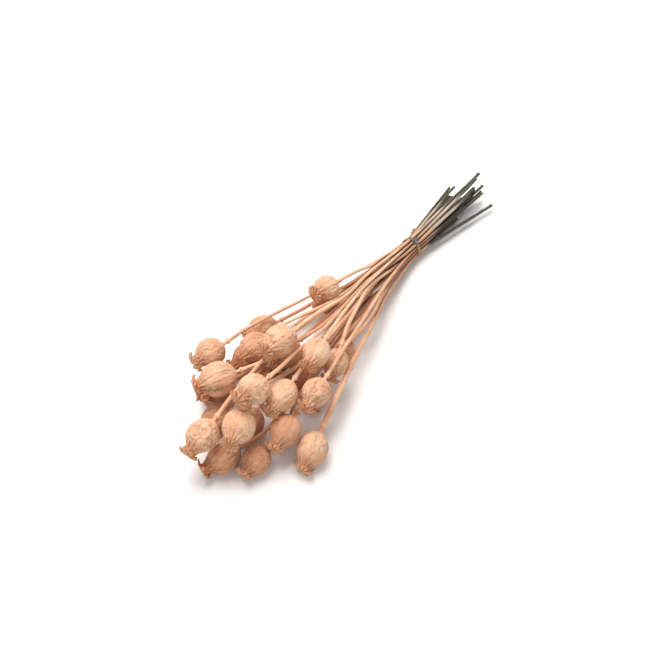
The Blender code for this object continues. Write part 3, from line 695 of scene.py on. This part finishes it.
def makePoppy(number, poppy, others, material, shoots):
    # Rings from the cut end's pole along the stem, over the head and into the crown's middle
    chance = np.random.default_rng(seeds["first"] + number)
    look = poppy["look"]
    seed = seeds["noiseStep"] * number
    headPoints, headMarks = headSurface(poppy, look, seed, chance)
    stemPoints, cap, endPole, walked, scars = stemSurface(poppy, seed, chance)
    dye = dyeMarks(poppy, chance)
    surface = Surface({**dict.fromkeys(skinMarks, 0),
                       "specks": look["specks"], "tone": look["tone"]})
    # Tone: the stem's random dye tone or the head's listed tone, plus painted shade low in the
    # bunch
    stemTone = toneWithLowShade(chance.uniform(*dyeShape["stemTone"]), stemPoints)
    headTone = toneWithLowShade(look["tone"] * dyeShape["headTone"], headPoints)
    few, many = stemShape["columns"], headShape["columns"]

    # The cut end's crease mark puts painted shade down in its hollow
    pole = surface.addPoints(endPole, cutShare=1, crease=1)
    cutShare, cutCrease = np.array(stemShape["cutRows"])[:, 3:].T[..., None]
    capStart = surface.addPoints(cap, cutShare=cutShare, crease=cutCrease, **dye(cap[..., 0]))
    # Painted shade where other stems lie close
    crevice = shadeBesideStems(stemPoints, others)
    stemStart = surface.addPoints(stemPoints, crease=scars * 0.6, tone=stemTone, crevice=crevice,
                                  **dye(stemPoints[..., 0]))
    headStart = surface.addPoints(headPoints, tone=headTone, **headMarks)
    topPole = surface.addPoints(headPoints[-1].mean(0), crownShare=1, crease=0.5)

    capWays = np.linspace(-6, -1, len(cap)) * mm
    surface.fan(pole, capStart, few, [capWays[0], capWays[0], capWays[0] - mm], toPole=False)
    stemRows = len(cap) + len(stemPoints)
    surface.ringQuads(capStart, stemRows, few, np.concatenate([capWays, walked]))
    headWays = walked[-1] + stemShape["topGap"] + walkedAlong(headPoints[:, 0])
    lastRing = stemStart + (len(stemPoints) - 1) * few
    surface.stitch(lastRing, few, headStart, many, [walked[-1], headWays[0]])
    surface.ringQuads(headStart, len(headPoints), many, headWays)
    lastRow = headStart + (len(headPoints) - 1) * many
    lastWay = headWays[-1]
    surface.fan(topPole, lastRow, many, [lastWay, lastWay, lastWay + mm], toPole=True)
    for shoot, foot in shoots:
        addShoot(surface, shoot, foot, dye)

    # What lies on the surface is pressed flat there
    for points in surface.points:
        points[:, 2] = np.maximum(points[:, 2], 0.05 * mm)
    piece = surface.piece(f"poppyPiece_{number:02d}", material)
    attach(piece, "root")
    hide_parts(f"poppy_{number:02d}")


def addShoot(surface, shoot, foot, dye):
    # A short tapered stub: steps of cos(turn) * lean + sin(turn) * x from inside the stem, added up
    s = shootShape
    t = np.linspace(0, 1, 9)
    turn = t[:, None] * shoot["curl"]
    lean = unit(np.array([s["lean"], *shoot["out"]]))
    arc = np.cumsum(np.cos(turn) * lean + np.sin(turn) * [1.0, 0, 0], axis=0)
    line = foot + arc * shoot["length"] / len(t)
    across = unit(np.cross([0.1, 0.3, 1.0], wayAlong(line)))
    size = shoot["radius"] * between(s["taper"], t)
    tip = smoothStep(0.3, 1, t)[:, None]
    marks = dye(line[:, :1])
    marks["dark"] = np.maximum(marks["dark"], between(s["dark"], tip))
    surface.tube(line, across, size, size, 10, crease=between(s["crease"], tip), **marks)


def shootFeet(poppies):
    # For each side shoot: the stem that reaches furthest out that way, and the point on it
    feet = {number: [] for number in poppies}
    for shoot in sideShoots:
        places = {}
        for number, poppy in poppies.items():
            places[number] = np.array([shoot["at"], *stemAt(poppy, shoot["at"])[:2]])
        best = max(places, key=lambda number: places[number][1:] @ np.array(shoot["out"]))
        feet[best].append((shoot, places[best]))
    return feet


# Rubber band

bandShape = {
    # Strands: place along the bunch and height over the stems, in mm
    "strands": [(-3.6, 0.1), (-1.9, 0.5), (-0.4, 0.2), (1.2, 0.6), (2.8, 0.2), (4.2, 0.4)],
    "width": 0.62 * mm, "thickness": 0.42 * mm,  # half of each
    "wander": (0.6 * mm, 0.35 * mm), "roll": 0.5,
    "outlinePoints": 120,
    "goldAngles": (118, 144),  # from here on the strands are clean and gold-brown
    "knotAngle": 103,  # degrees from +Y towards +Z
    "knotPinch": 0.88,  # how close together the strands are there
    "knotDark": (0.3, 1.0),  # dark round the knot, in radians from it
    "knotRise": 1.3 * mm, "knotSize": (5.0 * mm, 3.7 * mm, 1.6 * mm), "knotStrand": 1.05 * mm,
    "tails": [(0.9, 0.2, 7.5), (-0.4, -1.0, 6.0)],  # way along and across the bunch, length in mm
}


def bandOutline(poppies, x, clearance):
    # Tight loop round all stems at x: the furthest reach of the stems in each direction, then the
    # points where neighbouring tangent lines meet.
    found = np.array([stemAt(poppy, x) for poppy in poppies])
    places, radii = found[:, :2], found[:, 2]
    middle = (places.min(0) + places.max(0)) / 2
    angle = np.arange(bandShape["outlinePoints"]) * fullTurn / bandShape["outlinePoints"]
    ways = np.stack([np.cos(angle), np.sin(angle)], 1)
    reach = ((places - middle) @ ways.T + radii[:, None]).max(0) + clearance
    slope = (np.roll(reach, -1) - np.roll(reach, 1)) / (2 * angle[1])
    normal = np.stack([-ways[:, 1], ways[:, 0]], 1)
    return angle, middle + ways * reach[:, None] + normal * slope[:, None], ways


def makeBand(poppies, material):
    # Strands: the outline plus waves aside, drawn together at the knot by (0.5 + 0.5 cos a) ^ 2
    s = bandShape
    surface = Surface({"knotShare": 0, "gold": 0})
    middleX = (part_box("tie_band")[0][0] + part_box("tie_band")[1][0]) / 2
    knotTurn = math.radians(s["knotAngle"])
    for number, (aside, over) in enumerate(s["strands"]):
        x, clearance = middleX + aside * mm, over * mm + s["thickness"]
        angle, outline, ways = bandOutline(poppies, x, clearance)
        pinch = 1 - s["knotPinch"] * (0.5 + 0.5 * np.cos(angle - knotTurn)) ** 2
        wander = s["wander"][0] * np.sin(2 * angle + 2.1 * number) \
            + s["wander"][1] * np.sin(5 * angle + number)
        line = np.column_stack([middleX + (aside * mm + wander) * pinch, outline])
        overWay = np.column_stack([np.zeros(len(ways)), ways])
        roll = (s["roll"] * np.sin(3 * angle + number * 1.7) * pinch)[:, None]
        acrossWay = unit(np.cross(overWay, wayAlong(line, closed=True)))
        acrossWay = acrossWay * np.cos(roll) + overWay * np.sin(roll)
        fromKnot = abs((angle - knotTurn + math.pi) % fullTurn - math.pi)[:, None]
        gold = smoothStep(*np.radians(s["goldAngles"]), angle)[:, None]
        surface.tube(line, acrossWay, s["width"], s["thickness"], 10, closed=True,
                     knotShare=1 - smoothStep(*s["knotDark"], fromKnot), gold=gold)

    # Knot: a trefoil path, (sin t + 2 sin 2t, cos t - 2 cos 2t, -sin 3t), pressed onto the stems
    _, outline, ways = bandOutline(poppies, middleX, s["thickness"] + s["knotRise"])
    spot = int(round(s["knotAngle"] / 360 * s["outlinePoints"]))
    centre = np.array([middleX, *outline[spot]])
    over = np.array([0, *ways[spot]])
    along = np.array([1.0, 0, 0])
    across = np.cross(over, along)
    t = np.linspace(0, fullTurn, 110, endpoint=False)[:, None]
    sizeA, sizeB, sizeC = s["knotSize"]
    line = centre + across * (np.sin(t) + 2 * np.sin(2 * t)) / 3 * sizeA \
        + along * (np.cos(t) - 2 * np.cos(2 * t)) / 3 * sizeB - over * np.sin(3 * t) * sizeC
    sideWay = unit(np.cross(wayAlong(line, closed=True), over))
    strand = s["knotStrand"]
    surface.tube(line, sideWay, strand * 0.8, strand, 10, closed=True, knotShare=1)
    for alongWay, acrossWay, length in s["tails"]:
        t = np.linspace(0, 1, 14)[:, None]
        aim = along * alongWay + across * acrossWay
        line = centre + aim * t * length * mm + over * (1.0 + 0.8 * np.sin(3 * t)) * mm
        size = strand * between((1, 0.65), t[:, 0])
        surface.tube(line, unit(np.cross(wayAlong(line), over)), size, size * 0.7, 8, knotShare=1)
    piece = surface.piece("bandPiece", material)
    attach(piece, "root")
    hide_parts("tie_band")


# Materials

rgba = {"data_type": "RGBA"}
# The crease, crown-gap, crevice and hollow colours are painted shade, the crease one also the real
# dark joints and scars; the crown-ridge colour is a painted highlight; deep is the dye's own deep
# colour and also painted shade
skinColours = {
    "light": "#F5CEAD", "mid": "#EDB993", "deep": "#C0764B", "creaseShadeAndMarks": "#9E5831",
    "crown": "#CB885D", "crownGapShade": "#7A4026", "crownRidgeHighlight": "#F0C29C", "speck": "#A86A48",
    "paleBare": "#D0BEAB", "streakBare": "#71675A", "darkBare": "#5A5748", "darkestBare": "#2C2A24",
    "pith": "#E2D6BE", "hollowShade": "#2A241C", "stain": "#7C7355", "crevice": "#4C280F",
}


def dyedPoppySkin():
    # Dried poppy capsule and stem, dip-dyed: a matt papery skin, painted shade in the wrinkles,
    # between stems and low down, thin streaks along the fibres, small dark specks, and bare
    # grey-green stem past the dye.
    material, tree, shader = newMaterial("dyed dried poppy skin")
    colour = {name: hexColour(code) for name, code in skinColours.items()}
    place = addNode(tree, "TexCoord", out="Object")
    ways = addNode(tree, "UVMap", {"uv_map": "surfaceWays"})
    field = {name: addNode(tree, "Attribute", {"attribute_name": name}, out="Fac")
             for name in skinMarks}

    # Patterns: 14 mm clouds, 2.6 mm mottle, 0.7 mm grit, a dot per 1.8 mm and a net of 2 mm cells.
    # Fibres are 28 mm long, and nine lie round a stem, 1.4 mm each: coarser than real ones, so
    # that they show.
    fibreWays = addNode(tree, "Mapping", {"Scale": (9.0, 36.0, 1.0)}, {"Vector": ways})
    for name, vector, scale, detail in (
            ("cloud", place, 70.0, 3.0), ("mottle", place, 380.0, 4.0),
            ("grit", place, 1500.0, 2.0), ("fibre", fibreWays, 1.0, 3.0)):
        settings = {"Scale": scale, "Detail": detail}
        field[name] = addNode(tree, "TexNoise", settings, {"Vector": vector}, "Fac")
    for name, feature, scale in (("dots", "F1", 560.0), ("cells", "DISTANCE_TO_EDGE", 500.0)):
        settings = {"feature": feature, "Scale": scale}
        field[name] = addNode(tree, "TexVoronoi", settings, {"Vector": place}, "Distance")

    # Stretched to 0..1 between two levels, with soft ends
    for name, source, low, high in (
            ("cloudSpread", "cloud", 0.34, 0.68), ("mottleSpread", "mottle", 0.50, 0.74),
            ("fibreSpread", "fibre", 0.52, 0.74), ("fibreWide", "fibre", 0.42, 0.66),
            ("dotSpread", "dots", 0.42, 0.22), ("dotArea", "cloud", 0.32, 0.46),
            # The net's dark lines are painted shade along its creases
            ("netLines", "cells", 0.0, 0.14), ("netCreaseShade", "cells", 0.09, 0.0),
            ("stainPatch", "mottle", 0.36, 0.56), ("greySpread", "fibre", 0.40, 0.62)):
        settings = {"interpolation_type": "SMOOTHSTEP", 1: low, 2: high}
        field[name] = addNode(tree, "MapRange", settings, {0: field[source]})

    # Products of two fields
    for name, first, second in (
            ("gap", "crease", "crownShare"), ("dotted", "dotSpread", "dotArea"),
            ("dottedCap", "dotted", "capShare"), ("speckled", "dottedCap", "specks"),
            ("netCap", "netLines", "capShare"), ("netCreaseShadeCap", "netCreaseShade", "capShare"),
            ("stained", "stainPatch", "stain"), ("bareStreak", "fibreWide", "pale"),
            ("darkest", "greySpread", "dark")):
        field[name] = addNode(tree, "Math", {"operation": "MULTIPLY"},
                              {0: field[first], 1: field[second]})

    # Colour layers from the bottom up: the field that shows the layer, how strongly, and its colour
    settings = rgba | {6: colour["mid"], 7: colour["light"]}
    skin = addNode(tree, "Mix", settings, {0: field["cloudSpread"]}, 2)
    # Painted shade: the net lines, the low-lying share of the tone, the creases, the crown's gaps
    # and the crevices between stems. Painted highlight: the crown's ridges.
    for name, strength, layer in (
            ("mottleSpread", 0.20, "deep"), ("fibreSpread", 0.55, "deep"),
            ("netCreaseShadeCap", 0.16, "deep"), ("tone", 0.72, "deep"), ("crease", 0.46, "creaseShadeAndMarks"),
            ("crownShare", 0.85, "crown"), ("gap", 0.80, "crownGapShade"), ("ridgeHighlight", 0.70, "crownRidgeHighlight"),
            ("speckled", 0.58, "speck"), ("stained", 0.80, "stain"), ("pale", 0.86, "paleBare"),
            ("bareStreak", 0.75, "streakBare"), ("dark", 0.95, "darkBare"),
            ("crevice", 1.0, "crevice"), ("darkest", 1.0, "darkestBare")):
        settings = {"operation": "MULTIPLY", "use_clamp": True, 1: strength}
        amount = addNode(tree, "Math", settings, {0: field[name]})
        skin = addNode(tree, "Mix", rgba | {7: colour[layer]}, {0: amount, 6: skin}, 2)
    # Cut end: pale pith on the rim, painted shade down in the hollow
    settings = rgba | {6: colour["pith"], 7: colour["hollowShade"]}
    pith = addNode(tree, "Mix", settings, {0: field["crease"]}, 2)
    skin = addNode(tree, "Mix", rgba, {0: field["cutShare"], 6: skin, 7: pith}, 2)
    rough = addNode(tree, "MapRange", {3: 0.70, 4: 0.92}, {0: field["mottle"]})
    bump = None
    for name, strength, distance in (("netCap", 0.55, 0.30 * mm), ("fibre", 0.5, 0.25 * mm),
                                     ("grit", 0.45, 0.15 * mm)):
        links = {"Height": field[name], "Normal": bump} if bump else {"Height": field[name]}
        settings = {"Strength": strength, "Distance": distance}
        bump = addNode(tree, "Bump", settings, links)
    setNode(shader, {"Specular IOR Level": 0.30, "Sheen Weight": 0.10, "Sheen Roughness": 0.6},
            {"Base Color": skin, "Roughness": rough, "Normal": bump})
    return material


def agedRubber():
    # Natural rubber band, aged and dusty: dull grey-beige strands, dark blue-grey at the knot and
    # clean gold-brown on the far side
    material, tree, shader = newMaterial("aged natural rubber")
    place = addNode(tree, "TexCoord", out="Object")
    knot, gold = [addNode(tree, "Attribute", {"attribute_name": name}, out="Fac")
                  for name in ("knotShare", "gold")]
    settings = {"Scale": 900.0, "Detail": 4.0}  # 1 mm dust
    dust = addNode(tree, "TexNoise", settings, {"Vector": place}, "Fac")
    dusty, golden, dark = [
        addNode(tree, "Mix", rgba | {6: hexColour(low), 7: hexColour(high)}, {0: dust}, 2)
        for low, high in (("#7D7068", "#B9AA9C"), ("#8C6436", "#C79B60"), ("#453E40", "#938886"))]
    for share, layer in ((gold, golden), (knot, dark)):
        dusty = addNode(tree, "Mix", rgba, {0: share, 6: dusty, 7: layer}, 2)
    bump = addNode(tree, "Bump", {"Strength": 0.4, "Distance": 0.1 * mm}, {"Height": dust})
    setNode(shader, {"Roughness": 0.58}, {"Base Color": dusty, "Normal": bump})
    return material


# Stage: floor, light and camera

stageShape = {
    "target": (-0.0497, 0.0162, 0.030),
    "azimuth": -47.5, "elevation": 53.0, "distance": 1.0, "lens": 45.0,
    "floorSize": 8.0, "floorColour": "#F7F6F4",
    "worldColour": "#FFFFFF", "worldStrength": 0.52,
    "keyPower": 33.0, "keySize": 1.2, "keyPlace": (0.12, 0.58, 1.62),
    "fillPower": 4.0, "fillSize": 2.2, "fillPlace": (-1.4, -1.2, 1.3),
}


def makeStage():
    # Floor, world, lights that face the target, and the camera: target + distance * its way back
    s = stageShape
    bpy.ops.mesh.primitive_plane_add(size=s["floorSize"], location=(0, 0, 0))
    floor = bpy.context.object
    floor.name = "floor"
    material, _, shader = newMaterial("matt white board")
    setNode(shader, {"Base Color": hexColour(s["floorColour"]), "Roughness": 0.95,
                     "Specular IOR Level": 0.1}, {})
    floor.data.materials.append(material)
    world = bpy.data.worlds.new("soft room")
    world.use_nodes = True
    setNode(world.node_tree.nodes["Background"],
            {"Color": hexColour(s["worldColour"]), "Strength": s["worldStrength"]}, {})
    bpy.context.scene.world = world
    for name in ("key", "fill"):
        light = bpy.data.lights.new(name, "AREA")
        light.energy = s[name + "Power"]
        light.size = s[name + "Size"]
        thing = addObject(name, light)
        thing.location = s[name + "Place"]
        aim = np.array(s["target"]) - np.array(s[name + "Place"])
        thing.rotation_euler = (math.acos(-aim[2] / np.linalg.norm(aim)), 0,
                                math.atan2(aim[1], aim[0]) - math.pi / 2)
    turn, lift = math.radians(s["azimuth"]), math.radians(s["elevation"])
    back = np.array([math.sin(turn), -math.cos(turn), math.tan(lift)]) * math.cos(lift)
    camera = addObject("camera", bpy.data.cameras.new("camera"))
    camera.data.lens = s["lens"]
    camera.data.sensor_width = 36.0
    camera.data.clip_end = 50.0
    camera.location = np.array(s["target"]) + back * s["distance"]
    camera.rotation_euler = (math.pi / 2 - lift, 0, turn)
    bpy.context.scene.camera = camera
    bpy.context.scene.view_settings.view_transform = "Standard"


makeStage()
print("stage ready")
skinMaterial = dyedPoppySkin()
names = sorted(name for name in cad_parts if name.startswith("poppy_"))
poppies = {int(name[-2:]): readPoppy(name) for name in names}
for number, poppy in poppies.items():
    poppy["look"] = {**usualLook, **headLooks.get(number, {})}
    stem = poppy["stem"]
    stem[:, 3] *= 1 + poppy["look"]["stout"] * smoothStep(*stemShape["stoutFrom"], stem[:, 0])
    poppy["stemTop"] = stem[-1, 3] * stemShape["roundness"]
feet = shootFeet(poppies)
for number, poppy in poppies.items():
    others = [other for other in poppies.values() if other is not poppy]
    makePoppy(number, poppy, others, skinMaterial, feet[number])
print("poppies made:", len(poppies), "rays:", [poppy["rays"] for poppy in poppies.values()])
makeBand(list(poppies.values()), agedRubber())
print("band made")
